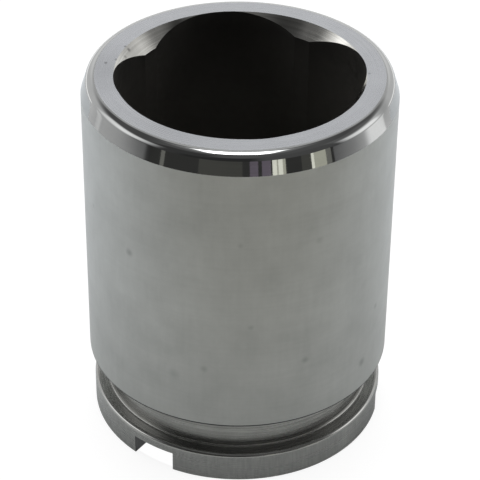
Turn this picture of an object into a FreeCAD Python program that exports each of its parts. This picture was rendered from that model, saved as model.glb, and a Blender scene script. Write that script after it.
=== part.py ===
import FreeCAD, Part
import math
import os

# Piston of a rear disc brake caliper that has an electric parking brake.
# Lengths are in millimetres and angles in degrees. The axis is Z, and the
# origin is the centre of the closed end, the face that pushes on the pad.
# The open end, which takes the drive nut, faces +Z.
# Azimuths are counted from +X towards +Y.

# Ground body, which slides in the caliper's seal
body_diameter = 43.0
overall_length = 54.0
body_edge_break = 0.15

# Rim at the open end
lead_in_depth = 2.8        # from the rim face down to the foot of the polished lead-in
lead_in_angle = 18.0       # between the lead-in and the axis
rim_corner_radius = 1.3

# Mouth, a machined cone that cuts the forged cavity
mouth_wall = 4.5           # between the ground body and the mouth's edge
mouth_half_angle = 45.0

# Forged cavity: lobes round a central bore, with a rib between each two
lobe_count = 4
lobe_wall = 4.4            # thinnest metal, outside the middle of a lobe
lobe_radius = 11.45
rib_height = 1.95          # how far a rib stands in from the reach of the lobes
rib_corner_radius = 0.3
rib_azimuth = 55.6         # of one rib, which has a notch of the flange opposite it
crown_thickness = 9.0      # metal between the cavity's floor and the pad-side recess
floor_bevel = 3.0          # where the cavity's wall meets its floor

# Groove that holds the dust boot's bead
groove_width = 5.7
groove_depth = 2.55
groove_corner_bevel = 0.3  # at each side of the groove's floor

# Flange on the pad side
flange_thickness = 4.5
flange_step = 0.6          # how far the flange stands in from the ground body
flange_corner_radius = 0.5
pad_edge_break = 0.1

# Recess and notches in the pad side, which leave a ring that meets the pad
pad_ring_width = 7.9
recess_depth = 3.0
recess_bevel = 1.0         # where the recess's wall meets its ceiling
notch_count = 3
notch_width = 6.6
notch_depth = 3.0

# How far a cutting form runs past the surface that it opens
overcut = 1.0

body_radius = body_diameter / 2
flange_radius = body_radius - flange_step
groove_radius = body_radius - groove_depth
groove_top = flange_thickness + groove_width
mouth_radius = body_radius - mouth_wall
lobe_reach = body_radius - lobe_wall
lobe_offset = lobe_reach - lobe_radius
rib_tip_radius = lobe_reach - rib_height
recess_radius = flange_radius - pad_ring_width
cavity_floor = recess_depth + crown_thickness

up = FreeCAD.Vector(0, 0, 1)


def at(radius, height):
    """Point of the half section, which lies in the plane of X and Z."""
    return FreeCAD.Vector(radius, 0, height)


def polar(radius, azimuth, height):
    """Point at a radius and an azimuth round the axis."""
    turn = math.radians(azimuth)
    return FreeCAD.Vector(radius * math.cos(turn), radius * math.sin(turn), height)


def chain(points):
    """Straight edges of the half section, from each point to the next."""
    edges = []
    for start, end in zip(points, points[1:]):
        edges.append(Part.LineSegment(at(*start), at(*end)).toShape())
    return edges


def rounded(centre, radius, first_angle, last_angle):
    """Circular edge of the half section, between two angles about its centre."""
    points = []
    for angle in (first_angle, (first_angle + last_angle) / 2, last_angle):
        turn = math.radians(angle)
        across = centre[0] + radius * math.cos(turn)
        height = centre[1] + radius * math.sin(turn)
        points.append(at(across, height))
    return Part.Arc(*points).toShape()


def turned(edges):
    """Solid of revolution about the axis, from a closed half section."""
    section = Part.Face(Part.Wire(edges))
    return section.revolve(FreeCAD.Vector(0, 0, 0), up, 360)


def flange_edges():
    """From the centre of the pad side to the foot of the groove."""
    corner = (flange_radius - flange_corner_radius, flange_thickness - flange_corner_radius)
    side = chain([
        (0, 0),
        (flange_radius - pad_edge_break, 0),
        (flange_radius, pad_edge_break),
        (flange_radius, corner[1]),
    ])
    top = chain([
        (corner[0], flange_thickness),
        (groove_radius + groove_corner_bevel, flange_thickness),
    ])
    return side + [rounded(corner, flange_corner_radius, 0, 90)] + top


def groove_edges():
    """The groove's floor, with a bevel at each side, and its upper wall."""
    across = groove_radius + groove_corner_bevel
    return chain([
        (across, flange_thickness),
        (groove_radius, flange_thickness + groove_corner_bevel),
        (groove_radius, groove_top - groove_corner_bevel),
        (across, groove_top),
        (body_radius - body_edge_break, groove_top),
    ])


def body_edges():
    """The ground body, its tapered lead-in, the rounded rim and the rim face."""
    slope = math.radians(lead_in_angle)
    foot = overall_length - lead_in_depth
    head = overall_length - rim_corner_radius * (1 - math.sin(slope))
    head_radius = body_radius - (head - foot) * math.tan(slope)
    corner = (
        head_radius - rim_corner_radius * math.cos(slope),
        overall_length - rim_corner_radius,
    )
    side = chain([
        (body_radius - body_edge_break, groove_top),
        (body_radius, groove_top + body_edge_break),
        (body_radius, foot),
        (head_radius, head),
    ])
    face = chain([(corner[0], overall_length), (0, overall_length), (0, 0)])
    return side + [rounded(corner, rim_corner_radius, lead_in_angle, 90)] + face


def outer_form():
    """All that is turned and ground on the outside, still solid inside."""
    return turned(flange_edges() + groove_edges() + body_edges())


def forged_cavity():
    """Central bore with its lobes, rounded at the ribs and bevelled at the floor."""
    height = overall_length + overcut - cavity_floor
    cavity = Part.makeCylinder(rib_tip_radius, height, at(0, cavity_floor))
    lobes = []
    for number in range(lobe_count):
        azimuth = rib_azimuth + (number + 0.5) * 360 / lobe_count
        centre = polar(lobe_offset, azimuth, cavity_floor)
        lobe = Part.makeCylinder(lobe_radius, height, centre)
        # The cylinder's own seam is turned to the inside, where the bore takes it away
        lobe.rotate(centre, up, azimuth + 180)
        lobes.append(lobe)
    cavity = cavity.multiFuse(lobes).removeSplitter()
    rib_corners = [edge for edge in cavity.Edges if isinstance(edge.Curve, Part.Line)]
    cavity = cavity.makeFillet(rib_corner_radius, rib_corners)
    middle = cavity_floor + height / 2
    floor_edges = [edge for edge in cavity.Edges if edge.BoundBox.ZMax < middle]
    return cavity.makeChamfer(floor_bevel, floor_edges)


def mouth_cone():
    """Cone that opens the cavity and cuts the ribs back below the rim face."""
    spread = math.tan(math.radians(mouth_half_angle))
    top = overall_length + overcut
    top_radius = mouth_radius + overcut * spread
    tip_radius = rib_tip_radius - overcut
    height = (top_radius - tip_radius) / spread
    return Part.makeCone(tip_radius, top_radius, height, at(0, top - height))


def pad_recess():
    """Shallow recess in the pad side, with a broken edge and a bevelled corner."""
    return turned(chain([
        (0, -overcut),
        (recess_radius + pad_edge_break + overcut, -overcut),
        (recess_radius, pad_edge_break),
        (recess_radius, recess_depth - recess_bevel),
        (recess_radius - recess_bevel, recess_depth),
        (0, recess_depth),
        (0, -overcut),
    ]))


def pad_notch(azimuth):
    """Slot across the ring, from inside the recess to outside the flange."""
    start = recess_radius - notch_width
    slot = Part.makeBox(
        flange_radius + overcut - start,
        notch_width,
        notch_depth + overcut,
        FreeCAD.Vector(start, -notch_width / 2, -overcut),
    )
    slot.rotate(FreeCAD.Vector(0, 0, 0), up, azimuth)
    return slot


def piston():
    """The whole piston, one forged and machined piece of steel."""
    pad_side = pad_recess()
    notches = []
    for number in range(notch_count):
        notches.append(pad_notch(rib_azimuth + 180 + number * 360 / notch_count))
    pad_side = pad_side.multiFuse(notches).removeSplitter()
    body = outer_form()
    body = body.cut(forged_cavity())
    body = body.cut(mouth_cone())
    body = body.cut(pad_side)
    return body.removeSplitter()


os.makedirs("parts", exist_ok=True)
part = piston()
part.exportStep("parts/piston.step")
print("piston", "valid", part.isValid(), "solids", len(part.Solids), "faces", len(part.Faces))
print("volume in cubic centimetres", round(part.Volume / 1000, 2))
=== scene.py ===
import math

import bmesh
import bpy
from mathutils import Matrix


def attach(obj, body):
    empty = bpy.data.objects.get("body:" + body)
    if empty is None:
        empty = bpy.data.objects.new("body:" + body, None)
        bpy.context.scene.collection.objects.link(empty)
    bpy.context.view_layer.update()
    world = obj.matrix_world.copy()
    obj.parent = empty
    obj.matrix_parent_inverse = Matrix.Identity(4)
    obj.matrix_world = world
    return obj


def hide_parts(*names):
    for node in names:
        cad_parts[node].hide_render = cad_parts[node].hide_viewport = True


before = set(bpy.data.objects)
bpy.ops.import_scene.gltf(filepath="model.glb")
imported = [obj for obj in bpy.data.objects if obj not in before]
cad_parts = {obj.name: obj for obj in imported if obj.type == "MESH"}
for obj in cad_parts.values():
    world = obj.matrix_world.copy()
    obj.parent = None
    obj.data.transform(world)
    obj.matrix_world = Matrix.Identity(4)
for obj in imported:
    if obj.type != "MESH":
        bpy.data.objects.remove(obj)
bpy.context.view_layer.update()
print("frame loaded")

mm = 0.001


# colours are given as sRGB hex and turned to linear here
def linear(hexText):
    parts = [int(hexText[i:i + 2], 16) / 255 for i in (1, 3, 5)]
    values = [c / 12.92 if c <= 0.04045 else ((c + 0.055) / 1.055) ** 2.4 for c in parts]
    return (*values, 1.0)


# one node with its settings and links; a whole number picks a socket by its place
def addNode(tree, kind, settings=None, links=None):
    node = tree.nodes.new("ShaderNode" + kind)
    for name, value in (settings or {}).items():
        if name == "stops":
            ramp = node.color_ramp
            while len(ramp.elements) < len(value):
                ramp.elements.new(0.5)
            for element, (place, shade) in zip(ramp.elements, value):
                element.position = place
                element.color = shade if isinstance(shade, tuple) else (shade, shade, shade, 1.0)
        elif isinstance(name, str) and hasattr(node, name):
            setattr(node, name, value)
        else:
            node.inputs[name].default_value = value
    for name, source in (links or {}).items():
        tree.links.new(source, node.inputs[name])
    return node


# camera, set up for the photograph's view

cameraSettings = {
    "place": (0.21, -237.92, 191.89),  # mm
    "tilt": 55.21,                     # degrees up from straight down
    "roll": 0.66,                      # degrees
    "lens": 153.3,                     # mm
    "sensor": 36.0,                    # mm
    "clip": (0.01, 20.0),              # m
}


def placeCamera(settings):
    lens = bpy.data.cameras.new("studioCamera")
    lens.lens = settings["lens"]
    lens.sensor_width = settings["sensor"]
    lens.clip_start, lens.clip_end = settings["clip"]
    camera = bpy.data.objects.new("studioCamera", lens)
    camera.location = [v * mm for v in settings["place"]]
    camera.rotation_mode = "ZYX"
    camera.rotation_euler = (math.radians(settings["tilt"]), 0.0, math.radians(settings["roll"]))
    bpy.context.scene.collection.objects.link(camera)
    bpy.context.scene.camera = camera


placeCamera(cameraSettings)
bpy.context.scene.view_settings.view_transform = "Standard"
print("camera placed")


# pale floor with a round opening under the part, so that its pad face gets light too

floorSettings = {
    "drop": 0.05,       # mm below the pad face
    "opening": 20.2,    # mm, radius of the opening, smaller than the pad ring
    "rings": (60.0, 300.0),     # mm, between the opening and the edge
    "reach": 4000.0,    # mm
    "sides": 128,
    "paper": "#767676",         # the share of the paper that shows soft shadows
    "glow": 0.90,               # its even white under them
    "paperShadeFront": "#b7b7b1",    # painted shade: the paper as the chrome mirrors it, darker on the camera's side
    "paperLightBack": "#eef2f5",     # painted light: that paper lighter behind the part
    "toneFrom": -84.0,          # mm in front of the part, where the painted shade starts to lift
    "toneTo": 60.0,
    "toneSkew": -0.2,           # painted shade: the right side is a little darker than the left
    "mirrorGlow": 0.2,          # the share of that paper that glows as painted light, which the part's shadow doesn't dim
    "mirrorLevel": 1.1,         # and how bright that share is
    "sheet": 190.0,             # mm, the mirrored sheet's radius; past it the chrome sees the tent
}


def buildFloor(settings):
    mesh = bpy.data.meshes.new("paperFloor")
    bm = bmesh.new()
    rings = []
    for radius in (settings["opening"], *settings["rings"], settings["reach"]):
        ring = []
        for i in range(settings["sides"]):
            turn = 2 * math.pi * i / settings["sides"]
            x = radius * math.cos(turn) * mm
            y = radius * math.sin(turn) * mm
            ring.append(bm.verts.new((x, y, -settings["drop"] * mm)))
        rings.append(ring)
    for inner, outer in zip(rings, rings[1:]):
        for i in range(settings["sides"]):
            j = (i + 1) % settings["sides"]
            bm.faces.new((inner[i], outer[i], outer[j], inner[j]))
    bm.to_mesh(mesh)
    bm.free()
    floor = bpy.data.objects.new("paperFloor", mesh)
    bpy.context.scene.collection.objects.link(floor)
    return floor


def paperMaterial(settings):
    material = bpy.data.materials.new("paleStudioPaper")
    material.use_nodes = True
    tree = material.node_tree
    tree.nodes.clear()
    path = addNode(tree, "LightPath")
    side = addNode(tree, "NewGeometry")
    place = addNode(tree, "TexCoord")
    skewed = addNode(tree, "VectorMath", {"operation": "DOT_PRODUCT", 1: (settings["toneSkew"], 1.0, 0.0)},
                     {0: place.outputs["Object"]})
    distance = addNode(tree, "VectorMath", {"operation": "LENGTH"}, {0: place.outputs["Object"]})
    clear = addNode(tree, "BsdfTransparent")
    shaded = addNode(tree, "BsdfDiffuse", {"Color": linear(settings["paper"])})
    white = addNode(tree, "Emission", {"Strength": settings["glow"]})
    seen = addNode(tree, "AddShader", {}, {0: shaded.outputs[0], 1: white.outputs[0]})
    # the paper that the chrome mirrors: painted shade on the camera's side, painted light behind, and a
    # glowing share of painted light
    depth = addNode(tree, "MapRange", {"From Min": settings["toneFrom"] * mm,
                                       "From Max": settings["toneTo"] * mm},
                    {"Value": skewed.outputs["Value"]})
    tone = addNode(tree, "Mix", {"data_type": "RGBA", 6: linear(settings["paperShadeFront"]),
                                 7: linear(settings["paperLightBack"])}, {0: depth.outputs[0]})
    matt = addNode(tree, "BsdfDiffuse", {}, {"Color": tone.outputs[2]})
    lit = addNode(tree, "Emission", {"Strength": settings["mirrorLevel"]}, {"Color": tone.outputs[2]})
    mirrored = addNode(tree, "MixShader", {0: settings["mirrorGlow"]},
                       {1: matt.outputs[0], 2: lit.outputs[0]})
    past = addNode(tree, "Math", {"operation": "GREATER_THAN", 1: settings["sheet"] * mm},
                   {0: distance.outputs["Value"]})
    sheet = addNode(tree, "MixShader", {}, {0: past.outputs[0], 1: mirrored.outputs[0],
                                            2: clear.outputs[0]})
    paper = addNode(tree, "MixShader", {}, {0: path.outputs["Is Camera Ray"], 1: sheet.outputs[0],
                                            2: seen.outputs[0]})
    both = addNode(tree, "MixShader", {}, {0: side.outputs["Backfacing"], 1: paper.outputs[0],
                                           2: clear.outputs[0]})
    addNode(tree, "OutputMaterial", {}, {"Surface": both.outputs[0]})
    return material


floor = buildFloor(floorSettings)
floor.data.materials.append(paperMaterial(floorSettings))


# soft light tent: a long softbox overhead, one to each side, a pale wall behind, and a dim front with
# a low row of light and dark panes; turns are degrees to the right of the camera, rises are degrees
# above the horizon, levels are linear

tentSettings = {
    "ceiling": 0.13,
    "front": 0.040,
    "frontTop": (34, 44),
    "frontSide": (60, 70),
    "below": 0.30,
    "belowRise": (-30, -18),
    "backdrop": 1.0,    # what the camera itself sees past the floor
    # the softbox overhead and the dimmer cloth round it, on a plane one unit up
    "roof": [{"level": 0.36, "halfWidth": 0.31, "front": -0.20, "back": 0.48, "soft": 0.10},
             {"level": 12.0, "halfWidth": 0.17, "front": -0.08, "back": 0.36, "soft": 0.07}],
    # the wall beside and behind the part grows lighter from its near end to its far end
    "wall": {"near": 0.27, "far": 0.80, "nearTurn": 68, "farTurn": 106, "side": (64, 68), "rise": (27, 42)},
    # boxes and pale strips that stand around: level, then turns and rises where each starts, is full,
    # starts to fade, and ends; one with "both" stands on the left too
    "panels": [
        {"level": 0.110, "turn": (6, 20, 70, 80), "rise": (-5, 2, 44, 50)},           # front's right part
        {"level": 0.065, "turn": (-85, -75, -48, -36), "rise": (2, 8, 28, 36)},       # front's left end
        {"level": 0.062, "turn": (-80, -70, -30, -14), "rise": (20, 30, 56, 62)},     # front's upper left
        {"level": 1.50, "turn": (-124, -112, -82, -54), "rise": (4, 20, 29, 43)},     # left box
        {"level": 1.55, "turn": (70, 86, 108, 118), "rise": (-2, 9, 22, 32)},         # right box
        {"level": 0.20, "turn": (72, 82, 128, 142), "rise": (33, 42, 46, 52)},        # shade over it
        {"level": 1.10, "turn": (-118, -116, -112, -109), "rise": (-14, -12, 0, 6)},  # left strip
        {"level": 1.30, "turn": (92, 101, 117, 119), "rise": (-15, -13, -8, -2)},     # right strip
        {"level": 1.05, "turn": (150, 168, 200, 201), "rise": (8, 16, 25, 32), "both": True},  # pale strip
        {"level": 0.64, "turn": (158, 172, 200, 201), "rise": (26, 32, 60, 66), "both": True},  # rear glow
        {"level": 1.00, "turn": (165, 175, 200, 201), "rise": (46, 62, 70, 80), "both": True},  # upper glow
        {"level": 1.50, "turn": (124, 128, 200, 201), "rise": (-9, -8, -3, -1), "both": True},  # paper edge
    ],
    # the low row of panes, as (where one starts, its shade)
    "shades": {"dim": "#2b2b2a", "grey": "#3b3b38", "violet": "#565058", "middle": "#5c5c58",
               "cream": "#949488", "pale": "#c8c8bc"},
    "row": [(-62, "dim"), (-54, "middle"), (-51, "dim"), (-27, "grey"), (2, "dim"), (7, "violet"),
            (12.5, "dim"), (15, "violet"), (21, "dim"), (22, "pale"), (25, "cream"), (26, "pale"),
            (29, "cream"), (31, "dim"), (42, "grey"), (48.6, "pale"), (51, "cream"), (60, "middle"),
            (64, "dim")],
    "rowEnd": 66,
    "rowLevel": 2.2,    # 1 over the share of light that the chrome mirrors
    "rowTop": (2.5, 6.5),
}


def buildTent(settings):
    world = bpy.data.worlds.new("softTent")
    bpy.context.scene.world = world
    world.use_nodes = True
    tree = world.node_tree
    tree.nodes.clear()

    def number(operation, first, second):
        sockets = {i: v for i, v in enumerate((first, second)) if not isinstance(v, (int, float))}
        fixed = {i: v for i, v in enumerate((first, second)) if isinstance(v, (int, float))}
        return addNode(tree, "Math", {"operation": operation, **fixed}, sockets).outputs[0]

    def ease(source, low, high, fromValue=0.0, toValue=1.0):
        return addNode(tree, "MapRange", {"interpolation_type": "SMOOTHSTEP", "From Min": low,
                                          "From Max": high, "To Min": fromValue, "To Max": toValue},
                       {"Value": source}).outputs[0]

    def over(base, level, mask):
        sockets = {i: v for i, v in ((6, base), (7, level), (0, mask)) if not isinstance(v, (int, float))}
        fixed = {i: (v, v, v, 1.0) for i, v in ((6, base), (7, level)) if isinstance(v, (int, float))}
        return addNode(tree, "Mix", {"data_type": "RGBA", **fixed}, sockets).outputs[2]

    # a soft-edged patch, given by where it starts, is full, starts to fade, and ends
    def patch(angle, turns, rises):
        across = number("MULTIPLY", ease(angle, *turns[:2]), ease(angle, *turns[2:], 1.0, 0.0))
        upright = number("MULTIPLY", ease(rise, *rises[:2]), ease(rise, *rises[2:], 1.0, 0.0))
        return number("MULTIPLY", across, upright)

    place = addNode(tree, "TexCoord")
    parts = addNode(tree, "SeparateXYZ", {}, {0: place.outputs["Generated"]})
    x, y, z = parts.outputs
    turn = number("MULTIPLY", number("ARCTAN2", x, number("MULTIPLY", y, -1.0)), math.degrees(1.0))
    rise = number("MULTIPLY", number("ARCSINE", z, 0.0), math.degrees(1.0))
    away = number("ABSOLUTE", turn, 0.0)

    light = settings["ceiling"]
    frontMask = number("MULTIPLY", ease(away, *settings["frontSide"], 1.0, 0.0),
                       ease(rise, *settings["frontTop"], 1.0, 0.0))
    light = over(light, settings["front"], frontMask)
    wall = settings["wall"]
    wallLevel = addNode(tree, "MapRange", {"From Min": wall["nearTurn"], "From Max": wall["farTurn"],
                                           "To Min": wall["near"], "To Max": wall["far"]}, {"Value": away})
    wallMask = number("MULTIPLY", ease(away, *wall["side"]), ease(rise, *wall["rise"], 1.0, 0.0))
    light = over(light, wallLevel.outputs[0], wallMask)
    for panel in settings["panels"]:
        angle = away if panel.get("both") else turn
        light = over(light, panel["level"], patch(angle, panel["turn"], panel["rise"]))

    up = number("MAXIMUM", z, 0.05)    # stays above 0, so that the plane ends near the horizon
    offX = number("ABSOLUTE", number("DIVIDE", x, up), 0.0)
    offY = number("DIVIDE", y, up)
    for box in settings["roof"]:
        soft = box["soft"]
        acrossMask = ease(offX, box["halfWidth"] - soft, box["halfWidth"] + soft, 1.0, 0.0)
        nearMask = ease(offY, box["front"] - soft, box["front"] + soft)
        farMask = ease(offY, box["back"] - soft, box["back"] + soft, 1.0, 0.0)
        alongMask = number("MULTIPLY", nearMask, farMask)
        light = over(light, box["level"], number("MULTIPLY", acrossMask, alongMask))

    first = settings["row"][0][0]
    last = settings["rowEnd"]
    stops = [((degrees - first) / (last - first), linear(settings["shades"][shade]))
             for degrees, shade in settings["row"]]
    share = addNode(tree, "MapRange", {"From Min": first, "From Max": last}, {"Value": turn}).outputs[0]
    panes = addNode(tree, "ValToRGB", {"stops": stops}, {0: share})
    panes.color_ramp.interpolation = "CONSTANT"
    row = addNode(tree, "VectorMath", {"operation": "SCALE", "Scale": settings["rowLevel"]},
                  {0: panes.outputs[0]})
    rowSides = number("MULTIPLY", number("GREATER_THAN", turn, first), number("LESS_THAN", turn, last))
    rowMask = number("MULTIPLY", ease(rise, *settings["rowTop"], 1.0, 0.0), rowSides)
    light = over(light, row.outputs[0], rowMask)
    light = over(light, settings["below"], ease(rise, *settings["belowRise"], 1.0, 0.0))
    path = addNode(tree, "LightPath")
    light = over(light, settings["backdrop"], path.outputs["Is Camera Ray"])
    shine = addNode(tree, "Background", {}, {"Color": light})
    addNode(tree, "OutputWorld", {}, {"Surface": shine.outputs[0]})


buildTent(tentSettings)
print("stage and light built")


# the piston's form, all in mm and degrees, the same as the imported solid

pistonForm = {
    "columns": 480,      # points round the part
    "columnGap": 0.3,    # share of a step that an even column keeps from a special one
    "bodyRadius": 21.5,
    "length": 54.0,
    "bodyTop": 51.2,
    "leadInAngle": 18.0,
    "rimCorner": 1.3,
    "mouthRadius": 17.0,
    "lobeAzimuth": 10.6,
    "lobeRadius": 11.45,
    "lobeOffset": 5.65,
    "ribRadius": 15.15,
    "ribCorner": 0.3,
    "cavityFloor": 12.0,
    "floorFillet": 3.0,
    "grooveTop": 10.2,
    "grooveRadius": 18.95,
    "grooveCorner": 0.3,
    "bodyEdge": 0.14,
    "edgeBand": 0.05,    # the strip above that edge which gets its painted shade too
    "flangeTop": 4.5,
    "flangeRadius": 20.9,
    "flangeCorner": 0.5,
    "padEdge": 0.1,
    "recessRadius": 13.0,
    "recessDepth": 3.0,  # the notches' too
    "recessFillet": 1.0,
    "notchAzimuths": (235.6, 355.6, 115.6),
    "notchHalf": 3.3,
    # rows of faces over each part of the outline
    "steps": {"rimCorner": 26, "leadIn": 4, "body": 16, "bodyEdge": 6, "grooveRoof": 2, "grooveCorner": 5,
              "grooveWall": 6, "flangeTop": 3, "flangeCorner": 8, "padRing": 6, "recessWall": 3,
              "recessFillet": 6, "floorFillet": 9, "cavityWall": 14, "cone": 8},
    "recessRings": (8.0, 4.0, 1.5),
    "floorShares": (0.2, 0.5, 0.8),
    "rimRings": (0.05, 0.5),    # mm outwards from the mouth's edge
    "rimShift": 0.3,     # mm outwards from the rim's middle to its middle ring
    "cornerTurn": 0.3,   # degrees from a corner of the cavity to the column beside it
    "edgeHold": 0.04,    # mm from an edge to the row that keeps its shading crisp
    "crispTurn": 32.0,   # degrees at which an edge is crisp
    "finishTurn": 6.0,   # and where two finishes meet
    "merge": 0.001,      # mm
}

# the zones of the outline, each with its own finish
zones = ["cavityWall", "mouthCone", "rimFace", "leadIn", "body", "bodyEdge", "groove", "flangeTop", "flange",
         "padRing", "recess", "notch"]


# radius of the four-lobed cavity wall at an azimuth, and the azimuths where its arcs meet
def lobeShape(form):
    bore = form["ribRadius"] + form["ribCorner"]
    lobe = form["lobeRadius"] + form["ribCorner"]
    offset = form["lobeOffset"]
    along = (bore ** 2 - lobe ** 2 + offset ** 2) / (2 * offset)
    across = math.sqrt(bore ** 2 - along ** 2)
    ribStart = math.degrees(math.atan2(across, along))
    touchX = offset + (along - offset) * form["lobeRadius"] / lobe
    touchY = across * form["lobeRadius"] / lobe
    lobeEnd = math.degrees(math.atan2(touchY, touchX))

    def wallRadius(azimuth):
        turn = abs((azimuth - form["lobeAzimuth"] + 45.0) % 90.0 - 45.0)
        if turn >= ribStart:
            return form["ribRadius"]
        angle = math.radians(turn)
        if turn > lobeEnd:
            angle = math.radians(turn - ribStart)
            root = form["ribCorner"] ** 2 - (bore * math.sin(angle)) ** 2
            return bore * math.cos(angle) - math.sqrt(max(root, 0.0))
        root = form["lobeRadius"] ** 2 - (offset * math.sin(angle)) ** 2
        return offset * math.cos(angle) + math.sqrt(root)

    return wallRadius, lobeEnd, ribStart


# azimuths of the mesh's columns: an even spread, plus every place where the form turns
def columnAzimuths(form, lobeEnd, ribStart, breakOut, notchTurn):
    special = []
    beside = form["cornerTurn"]
    for k in range(4):
        centre = form["lobeAzimuth"] + 90.0 * k
        for side in (-1, 1):
            ribMiddle = (lobeEnd + ribStart) / 2
            for turn in (breakOut, lobeEnd - beside, lobeEnd, ribMiddle, ribStart, ribStart + beside):
                special.append((centre + side * turn) % 360.0)
    walls = []
    for centre in form["notchAzimuths"]:
        walls += [((centre - notchTurn) % 360.0, 1), ((centre + notchTurn) % 360.0, -1)]
    special += [azimuth for azimuth, side in walls]
    step = 360.0 / form["columns"]
    spread = []
    for i in range(form["columns"]):
        azimuth = i * step
        nearest = min(abs((azimuth - s + 180.0) % 360.0 - 180.0) for s in special)
        if nearest > form["columnGap"] * step:
            spread.append(azimuth)
    columns = [(azimuth, None) for azimuth in spread]
    columns += [(azimuth, None) for azimuth in special if azimuth not in [w[0] for w in walls]]
    # a notch's wall is two columns at one azimuth, outside and inside the notch
    for azimuth, side in walls:
        columns.append((azimuth, False))
        columns.append((azimuth, True))
    insideFirst = {azimuth: side < 0 for azimuth, side in walls}
    columns.sort(key=lambda c: (c[0], 0 if c[1] is None else (c[1] != insideFirst[c[0]])))
    return columns


def arc(centreR, centreZ, radius, fromDeg, toDeg, count):
    points = []
    for i in range(count + 1):
        angle = math.radians(fromDeg + (toDeg - fromDeg) * i / count)
        points.append((centreR + radius * math.cos(angle), centreZ + radius * math.sin(angle)))
    return points


# points between two corners, the outer ones close to them
def line(start, end, count):
    length = math.dist(start, end)
    hold = pistonForm["edgeHold"]
    shares = [hold / length] + [i / count for i in range(1, count)] + [1 - hold / length]
    return [(start[0] + (end[0] - start[0]) * t, start[1] + (end[1] - start[1]) * t) for t in shares]


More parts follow.
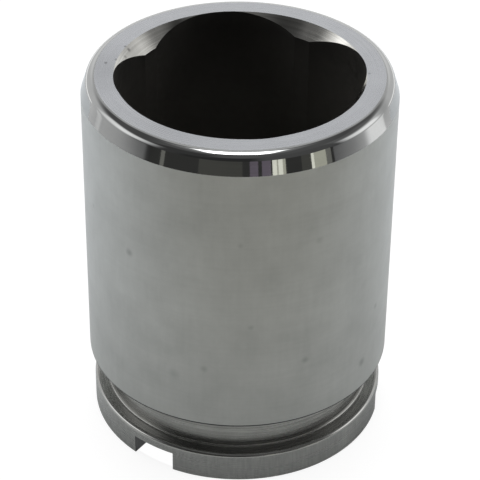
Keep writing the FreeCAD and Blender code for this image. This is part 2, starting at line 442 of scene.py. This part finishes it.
def buildPiston(form):
    wallRadius, lobeEnd, ribStart = lobeShape(form)
    steps = form["steps"]
    top = form["length"]
    mouth = form["mouthRadius"]
    offset = form["lobeOffset"]
    lobeRadius = form["lobeRadius"]
    # the lobe's arc passes the mouth's edge at this turn from the lobe's middle
    breakOut = math.degrees(math.acos((mouth ** 2 + offset ** 2 - lobeRadius ** 2) / (2 * mouth * offset)))
    notchTurn = math.degrees(math.asin(form["notchHalf"] / form["flangeRadius"]))
    columns = columnAzimuths(form, lobeEnd, ribStart, breakOut, notchTurn)

    slope = math.radians(form["leadInAngle"])
    corner = form["rimCorner"]
    cornerZ = top - corner
    drop = cornerZ + corner * math.sin(slope) - form["bodyTop"]
    cornerR = form["bodyRadius"] - drop * math.tan(slope) - corner * math.cos(slope)
    rimCorner = arc(cornerR, cornerZ, corner, 90.0, form["leadInAngle"], steps["rimCorner"])
    body = form["bodyRadius"]
    edge = form["bodyEdge"]
    gRadius = form["grooveRadius"]
    gCorner = form["grooveCorner"]
    gTop = form["grooveTop"]
    fTop = form["flangeTop"]
    fRadius = form["flangeRadius"]
    fCorner = form["flangeCorner"]
    pad = form["padEdge"]
    recess = form["recessRadius"]
    depth = form["recessDepth"]
    fillet = form["recessFillet"]

    # rows that are the same at every azimuth: radius, height, zone of the strip that ends there
    rows = []

    def add(points, zone):
        rows.extend((r, z, zone) for r, z in points)

    add(rimCorner, "leadIn")
    add(line(rimCorner[-1], (body, form["bodyTop"]), steps["leadIn"]), "leadIn")
    add([(body, form["bodyTop"])], "leadIn")
    add(line((body, form["bodyTop"]), (body, gTop + edge + form["edgeBand"]), steps["body"]), "body")
    add(arc(body - edge, gTop + edge, edge, 0.0, -90.0, steps["bodyEdge"]), "bodyEdge")
    add(line((body - edge, gTop), (gRadius + gCorner, gTop), steps["grooveRoof"]), "groove")
    add(arc(gRadius + gCorner, gTop - gCorner, gCorner, 90.0, 180.0, steps["grooveCorner"]), "groove")
    add(line((gRadius, gTop - gCorner), (gRadius, fTop + gCorner), steps["grooveWall"]), "groove")
    add(arc(gRadius + gCorner, fTop + gCorner, gCorner, 180.0, 270.0, steps["grooveCorner"]), "groove")
    add(line((gRadius + gCorner, fTop), (fRadius - fCorner, fTop), steps["flangeTop"]), "flangeTop")
    add(arc(fRadius - fCorner, fTop - fCorner, fCorner, 90.0, 0.0, steps["flangeCorner"]), "flangeTop")
    add([(fRadius, fTop - fCorner - form["edgeHold"])], "flange")
    notchFirst = len(rows)
    add([(fRadius, depth), (fRadius, pad)], "flange")
    add([(fRadius - pad, 0.0)], "padRing")
    add(line((fRadius - pad, 0.0), (recess + pad, 0.0), steps["padRing"]), "padRing")
    add([(recess + pad, 0.0), (recess, pad)], "padRing")
    add(line((recess, pad), (recess, depth - fillet), steps["recessWall"]), "recess")
    add(arc(recess - fillet, depth - fillet, fillet, 0.0, 90.0, steps["recessFillet"]), "recess")
    notchLast = len(rows) - 1
    add([(radius, depth) for radius in form["recessRings"]], "recess")

    # inside a notch those rows lie on its ceiling instead
    ceiling = {}
    recessEdge = recess + 0.5 * pad
    innerRows = [i for i in range(notchFirst, notchLast + 1) if rows[i][0] < recessEdge]
    for i in range(notchFirst, notchLast + 1):
        if i in innerRows:
            share = (innerRows.index(i) + 1) / len(innerRows)
            ceiling[i] = recessEdge - share * (fillet + 0.5 * pad)
        else:
            ceiling[i] = rows[i][0]

    def notchDistance(azimuth):
        turns = [(azimuth - c + 180.0) % 360.0 - 180.0 for c in form["notchAzimuths"]]
        return min(turns, key=abs)

    # columns lean on the pad side, so that each notch wall is flat and parallel to its middle; the lean
    # fades out half way to the next notch
    halfWay = 180.0 / len(form["notchAzimuths"])

    def leaned(azimuth, radius):
        turn = notchDistance(azimuth)
        wall = math.degrees(math.asin(form["notchHalf"] / max(radius, recess - fillet)))
        if abs(turn) <= notchTurn:
            moved = turn * wall / notchTurn
        else:
            share = (abs(turn) - notchTurn) / (halfWay - notchTurn)
            moved = math.copysign(wall + share * (halfWay - wall), turn)
        return azimuth - turn + moved

    bm = bmesh.new()
    zoneOf = {name: i for i, name in enumerate(zones)}
    grid = []
    inside = []
    stripZones = []
    floorZ = form["cavityFloor"]
    fFillet = form["floorFillet"]
    floorSteps = steps["floorFillet"]
    wallRows = steps["cavityWall"]
    coneRows = steps["cone"]
    for azimuth, inNotch in columns:
        wall = wallRadius(azimuth)
        column = []
        # cavity floor, its fillet and the wall
        for share in form["floorShares"]:
            column.append(((wall - fFillet) * share, floorZ, azimuth))
        for r, z in arc(wall - fFillet, floorZ + fFillet, fFillet, 270.0, 360.0, floorSteps):
            column.append((r, z, azimuth))
        lip = max(mouth, wall)
        coneEnd = top - (lip - wall)
        for i in range(1, wallRows + 1):
            share = i / wallRows
            column.append((wall, floorZ + fFillet + (coneEnd - floorZ - fFillet) * share, azimuth))
        for i in range(1, coneRows + 1):
            share = i / coneRows
            column.append((wall + (lip - wall) * share, coneEnd + (top - coneEnd) * share, azimuth))
        # rim face
        rimRadii = [lip + out for out in form["rimRings"]]
        rimRadii += [0.5 * (lip + cornerR) + form["rimShift"], cornerR - form["edgeHold"]]
        for r in rimRadii:
            column.append((r, top, azimuth))
        if not stripZones:
            inner = len(form["floorShares"]) + floorSteps + 1 + wallRows
            stripZones = (["cavityWall"] * inner + ["mouthCone"] * coneRows + ["rimFace"] * len(rimRadii)
                          + [zone for r, z, zone in rows])
            outerFirst = len(column)
        isInside = inNotch if inNotch is not None else abs(notchDistance(azimuth)) < notchTurn
        inside.append(isInside)
        for i, (r, z, zone) in enumerate(rows):
            if i < notchFirst:
                column.append((r, z, azimuth))
            elif i <= notchLast and isInside:
                radius = ceiling[i]
                column.append((radius, depth, leaned(azimuth, radius)))
            else:
                column.append((r, z, leaned(azimuth, r)))
        made = []
        for r, z, turnAt in column:
            angle = math.radians(turnAt)
            made.append(bm.verts.new((r * math.cos(angle) * mm, r * math.sin(angle) * mm, z * mm)))
        grid.append(made)

    count = len(grid)
    rowsTotal = len(grid[0])
    floorMiddle = bm.verts.new((0.0, 0.0, floorZ * mm))
    recessMiddle = bm.verts.new((0.0, 0.0, depth * mm))
    notchRows = range(outerFirst + notchFirst, outerFirst + notchLast)
    for c in range(count):
        here = grid[c]
        there = grid[(c + 1) % count]
        isNotch = inside[c] or inside[(c + 1) % count]
        face = bm.faces.new((floorMiddle, here[0], there[0]))
        face.material_index = zoneOf["cavityWall"]
        for i in range(rowsTotal - 1):
            face = bm.faces.new((here[i], here[i + 1], there[i + 1], there[i]))
            face.material_index = zoneOf["notch" if isNotch and i in notchRows else stripZones[i + 1]]
        face = bm.faces.new((here[-1], recessMiddle, there[-1]))
        face.material_index = zoneOf["recess"]
    bmesh.ops.remove_doubles(bm, verts=bm.verts, dist=form["merge"] * mm)
    bmesh.ops.recalc_face_normals(bm, faces=bm.faces)
    print("piston mesh", len(bm.verts), "points", len(bm.faces), "faces")

    # edges are crisp where two finishes meet at an angle, or where the form turns sharply
    for bmEdge in bm.edges:
        one, two = bmEdge.link_faces
        turn = math.degrees(bmEdge.calc_face_angle(0.0))
        meeting = one.material_index != two.material_index and turn > form["finishTurn"]
        bmEdge.smooth = not (turn > form["crispTurn"] or meeting)
    for face in bm.faces:
        face.smooth = True
    mesh = bpy.data.meshes.new("caliper_piston")
    bm.to_mesh(mesh)
    bm.free()
    piston = bpy.data.objects.new("caliper_piston", mesh)
    bpy.context.scene.collection.objects.link(piston)
    return piston


piston = buildPiston(pistonForm)


# finishes; lengths of the patterns are in mm

def newFinish(name, metallic):
    material = bpy.data.materials.new(name)
    material.use_nodes = True
    tree = material.node_tree
    tree.nodes.clear()
    shader = addNode(tree, "BsdfPrincipled", {"Metallic": metallic})
    addNode(tree, "OutputMaterial", {}, {"Surface": shader.outputs[0]})
    return material, tree, shader


# place on the part in mm: as it is, as (distance from axis + height, x, y) for turned lines, and as
# (x, y, height) for brushed ones
def partPlace(tree, around, upright):
    place = addNode(tree, "TexCoord")
    inMm = addNode(tree, "VectorMath", {"operation": "SCALE", "Scale": 1.0 / mm},
                   {0: place.outputs["Object"]})
    parts = addNode(tree, "SeparateXYZ", {}, {0: inMm.outputs[0]})
    flat = addNode(tree, "VectorMath", {"operation": "MULTIPLY", 1: (1.0, 1.0, 0.0)}, {0: inMm.outputs[0]})
    radius = addNode(tree, "VectorMath", {"operation": "LENGTH"}, {0: flat.outputs[0]})
    across = addNode(tree, "Math", {"operation": "ADD"}, {0: radius.outputs["Value"], 1: parts.outputs[2]})
    along = addNode(tree, "VectorMath", {"operation": "SCALE", "Scale": around}, {0: inMm.outputs[0]})
    alongParts = addNode(tree, "SeparateXYZ", {}, {0: along.outputs[0]})
    turned = addNode(tree, "CombineXYZ", {}, {0: across.outputs[0], 1: alongParts.outputs[0],
                                              2: alongParts.outputs[1]})
    brushed = addNode(tree, "VectorMath", {"operation": "MULTIPLY", 1: (1.0, 1.0, upright)},
                      {0: inMm.outputs[0]})
    return inMm.outputs[0], turned.outputs[0], brushed.outputs[0], parts.outputs[2]


# line: width of the turned lines; around: how short they are, 0 is a full ring
# patch: size of the soft patches; brush: width of the brushed lines; shares say how much each one tells
# bump: height of the turned lines in tenths of a mm
# marks: darkened spots as (azimuth, radius, height, size, strength): small smudges, specks and nicks, and on
# some finishes broad patches of painted shade
# real feed and grinding lines are 0.02 to 0.15 mm wide, under a pixel here, so they are drawn coarser
finishes = {
    # hard chrome ground to size: an even satin grey, no picture in it, a few smudges
    "body": {"name": "groundHardChrome", "low": "#b2b3b1", "high": "#c5c6c4", "rough": (0.31, 0.37),
             "line": 0.5, "around": 0.02, "patch": 6.0, "brush": 0.7, "shares": (0.2, 0.85, 0.2),
             # painted shade: the tone is multiplied darker from 28 mm down, fully below 16 mm
             "bump": 0.012, "paintedLowShade": "#f3f3f3", "paintedLowShadeHeights": (28.0, 16.0),
             "marks": [(227.6, 21.5, 35.4, 0.9, 0.30), (204.1, 21.5, 38.1, 0.5, 0.18),
                       (246.5, 21.5, 18.0, 1.2, 0.14), (258.0, 21.5, 19.9, 0.8, 0.17),
                       (295.4, 21.5, 20.4, 0.8, 0.22), (324.1, 21.5, 14.8, 1.0, 0.30),
                       (332.7, 21.5, 22.6, 0.7, 0.22), (270.8, 21.5, 40.6, 0.6, 0.14),
                       (299.7, 21.5, 39.7, 0.8, 0.12), (274.8, 21.5, 27.3, 0.6, 0.14),
                       (20.0, 21.5, 31.0, 0.8, 0.20), (75.0, 21.5, 16.0, 1.0, 0.18),
                       (110.0, 21.5, 43.0, 0.6, 0.20), (150.0, 21.5, 24.0, 0.9, 0.16)]},
    # chrome buffed on the lead-in: a dark mirror
    "leadIn": {"name": "polishedChrome", "low": "#b0b1b1", "high": "#b9bab9", "rough": (0.03, 0.06),
               "line": 0.6, "around": 0.05, "patch": 3.0, "brush": 0.6, "shares": (0.5, 0.6, 0.2),
               "bump": 0.04,
               # the marks here are broad patches of painted shade that dim the mirrored light on the lead-in
               # and its corner
               "marks": [(212.0, 21.0, 52.4, 5.0, 0.20), (312.0, 21.0, 52.4, 4.0, 0.25),
                         (336.0, 20.3, 53.5, 3.0, 0.28), (233.0, 20.2, 53.6, 4.0, 0.20)]},
    # faced end of the cup: cool satin with fine rings
    "rimFace": {"name": "facedSteel", "low": "#b8babe", "high": "#c3c5c9", "rough": (0.24, 0.30),
                "metallic": 0.8,
                "line": 0.25, "around": 0.012, "patch": 3.5, "brush": 0.5, "shares": (0.35, 0.7, 0.2),
                "bump": 0.006,
                # the first two marks are broad patches of painted shade over the left and front left of the
                # face; the rest are small specks and nicks near its inner edge
                "marks": [(180.0, 19.0, 54.0, 9.0, 0.13), (240.0, 18.6, 54.0, 9.0, 0.08),
                          (173.5, 18.3, 54.0, 0.35, 0.7), (157.2, 17.1, 54.0, 0.35, 0.6),
                          (169.8, 17.1, 54.0, 0.35, 0.5), (0.1, 17.3, 54.0, 0.3, 0.5)]},
    # cone cut into the mouth: bare bright steel with tool lines
    "mouthCone": {"name": "turnedSteel", "low": "#c8c7c2", "high": "#e8e7e2", "rough": (0.09, 0.15),
                  "line": 0.30, "around": 0.03, "patch": 3.0, "brush": 0.5, "shares": (0.9, 0.5, 0.1),
                  "bump": 0.03,
                  # the two small marks are nicks at the mouth's edge; the three broad ones are patches of
                  # painted shade on the cone's mirrored light
                  "marks": [(157.2, 16.6, 53.6, 0.45, 0.6), (163.0, 16.4, 53.4, 0.45, 0.4),
                            (123.0, 16.3, 53.3, 3.6, 0.72), (157.0, 16.6, 53.6, 4.6, 0.3),
                            (68.0, 16.3, 53.3, 3.6, 0.35)]},
    # forged and heat treated inside: dull black scale
    "cavityWall": {"name": "forgedBlack", "low": "#282724", "high": "#363430", "rough": (0.55, 0.75),
                   "metallic": 0.0, "line": 1.2, "around": 0.8, "patch": 2.5, "brush": 1.0,
                   # painted light: the tone turns to a lighter grey from 52 mm down, fully below 40 mm, deep
                   # in the cavity where little light reaches
                   "shares": (0.6, 0.8, 0.2), "bump": 0.2, "paintedDeepLight": "#5c5a55", "paintedDeepLightHeights": (52.0, 40.0)},
    # edge broken after grinding, coloured dark: a thin line of painted shade along the body's lower edge
    "bodyEdge": {"name": "brokenEdge", "low": "#26282a", "high": "#383a3d", "rough": (0.22, 0.32),
                 "line": 0.4, "around": 0.02, "patch": 4.0, "brush": 0.5, "shares": (0.3, 0.8, 0.3),
                 "bump": 0.02},
    # turned groove: satin with open tool lines
    "groove": {"name": "turnedGroove", "low": "#92928f", "high": "#b9b9b6", "rough": (0.22, 0.30),
               "line": 0.35, "around": 0.012, "patch": 4.0, "brush": 0.5, "shares": (1.0, 0.5, 0.1),
               "bump": 0.012},
    # flange's upper side, finer than its wall, so that it mirrors the dark of the groove
    "flangeTop": {"name": "turnedFlangeTop", "low": "#a9a9a7", "high": "#bdbdba", "rough": (0.13, 0.19),
                  "line": 0.28, "around": 0.012, "patch": 4.0, "brush": 0.5, "shares": (0.8, 0.5, 0.1),
                  "bump": 0.003},
    # flange's wall: satin, with faint upright handling marks, and one broad patch of painted shade low on
    # its right front
    "flange": {"name": "brushedFlange", "low": "#9b9b9a", "high": "#b4b4b2", "rough": (0.24, 0.34),
               "line": 0.28, "around": 0.012, "patch": 4.0, "brush": 0.35, "shares": (0.15, 0.4, 0.8),
               # the one mark is that patch of painted shade
               "bump": 0.02, "marks": [(340.0, 20.9, 2.5, 9.0, 0.36)]},
    # ring that bears on the pad: faced, satin, with open rings
    "padRing": {"name": "facedPadRing", "low": "#9b9c9c", "high": "#b4b5b5", "rough": (0.28, 0.40),
                "line": 0.35, "around": 0.012, "patch": 5.0, "brush": 0.5, "shares": (0.9, 0.5, 0.1),
                "bump": 0.05},
    # recess left from the forging: dull and a little uneven
    "recess": {"name": "forgedRecess", "low": "#6e6c68", "high": "#85837e", "rough": (0.40, 0.55),
               "line": 0.8, "around": 0.5, "patch": 3.0, "brush": 1.0, "shares": (0.6, 0.8, 0.2),
               "bump": 0.12},
    # milled notches: a coarser cut, coloured darker as painted shade for the shadow under the part that
    # their walls face
    "notch": {"name": "milledNotch", "low": "#58595a", "high": "#7a7c7c", "rough": (0.30, 0.45),
              "line": 0.4, "around": 1.0, "patch": 2.0, "brush": 0.4, "shares": (0.3, 0.5, 0.7),
              "bump": 0.06},
}


# what all the finishes share
grainSettings = {
    "details": (1.0, 5.0, 3.0),     # of the turned lines, the patches and the brushed lines
    "roughness": 0.6,
    "upright": 0.12,        # brushed lines are 1 / 0.12 times as tall as they are wide
    "toneReach": 0.25,      # how far the mixed noise goes from its middle before the colour is full
    "roughReach": (0.3, 0.7),   # where the lines' noise mostly lies
    "bumpUnit": 0.1,        # mm
}


def metalFinish(settings):
    grain = grainSettings
    material, tree, shader = newFinish(settings["name"], settings.get("metallic", 1.0))
    plain, turned, brushed, height = partPlace(tree, settings["around"], grain["upright"])
    textures = []
    for key, detail, place in zip(("line", "patch", "brush"), grain["details"], (turned, plain, brushed)):
        noise = {"Scale": 1.0 / settings[key], "Detail": detail, "Roughness": grain["roughness"]}
        textures.append(addNode(tree, "TexNoise", noise, {"Vector": place}))
    lines = textures[0]
    shade = None
    for texture, share in zip(textures, settings["shares"]):
        part = addNode(tree, "Math", {"operation": "MULTIPLY_ADD", 1: share, 2: -0.5 * share},
                       {0: texture.outputs[0]})
        if shade:
            part = addNode(tree, "Math", {"operation": "ADD"}, {0: shade.outputs[0], 1: part.outputs[0]})
        shade = part
    spread = addNode(tree, "MapRange", {"From Min": -grain["toneReach"], "From Max": grain["toneReach"]},
                     {"Value": shade.outputs[0]})
    tone = addNode(tree, "Mix", {"data_type": "RGBA", 6: linear(settings["low"]),
                                 7: linear(settings["high"])},
                   {0: spread.outputs[0]}).outputs[2]
    # painted light or painted shade that comes in with height: put over the tone as the cavity's painted
    # light, or multiplied into it as the body's painted shade
    for key, blend in (("paintedDeepLight", "MIX"), ("paintedLowShade", "MULTIPLY")):
        if key in settings:
            start, end = settings[key + "Heights"]
            depth = addNode(tree, "MapRange", {"From Min": start, "From Max": end}, {"Value": height})
            tone = addNode(tree, "Mix", {"data_type": "RGBA", "blend_type": blend, 7: linear(settings[key])},
                           {0: depth.outputs[0], 6: tone}).outputs[2]
    for azimuth, radius, z, size, strength in settings.get("marks", []):
        angle = math.radians(azimuth)
        spot = (radius * math.cos(angle), radius * math.sin(angle), z)
        distance = addNode(tree, "VectorMath", {"operation": "DISTANCE", 1: spot}, {0: plain})
        fade = addNode(tree, "MapRange", {"interpolation_type": "SMOOTHSTEP", "From Max": size,
                                          "To Min": strength, "To Max": 0.0},
                       {"Value": distance.outputs["Value"]})
        tone = addNode(tree, "Mix", {"data_type": "RGBA", 7: (0.0, 0.0, 0.0, 1.0)},
                       {0: fade.outputs[0], 6: tone}).outputs[2]
    tree.links.new(tone, shader.inputs["Base Color"])
    low, high = grain["roughReach"]
    rough = addNode(tree, "MapRange", {"From Min": low, "From Max": high, "To Min": settings["rough"][0],
                                       "To Max": settings["rough"][1]}, {"Value": lines.outputs[0]})
    tree.links.new(rough.outputs[0], shader.inputs["Roughness"])
    relief = addNode(tree, "Bump", {"Strength": 1.0, "Distance": settings["bump"] * mm * grain["bumpUnit"]},
                     {"Height": lines.outputs[0]})
    tree.links.new(relief.outputs[0], shader.inputs["Normal"])
    return material


for zone in zones:
    piston.data.materials.append(metalFinish(finishes[zone]))
print("finishes built")

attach(piston, "root")
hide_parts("piston")
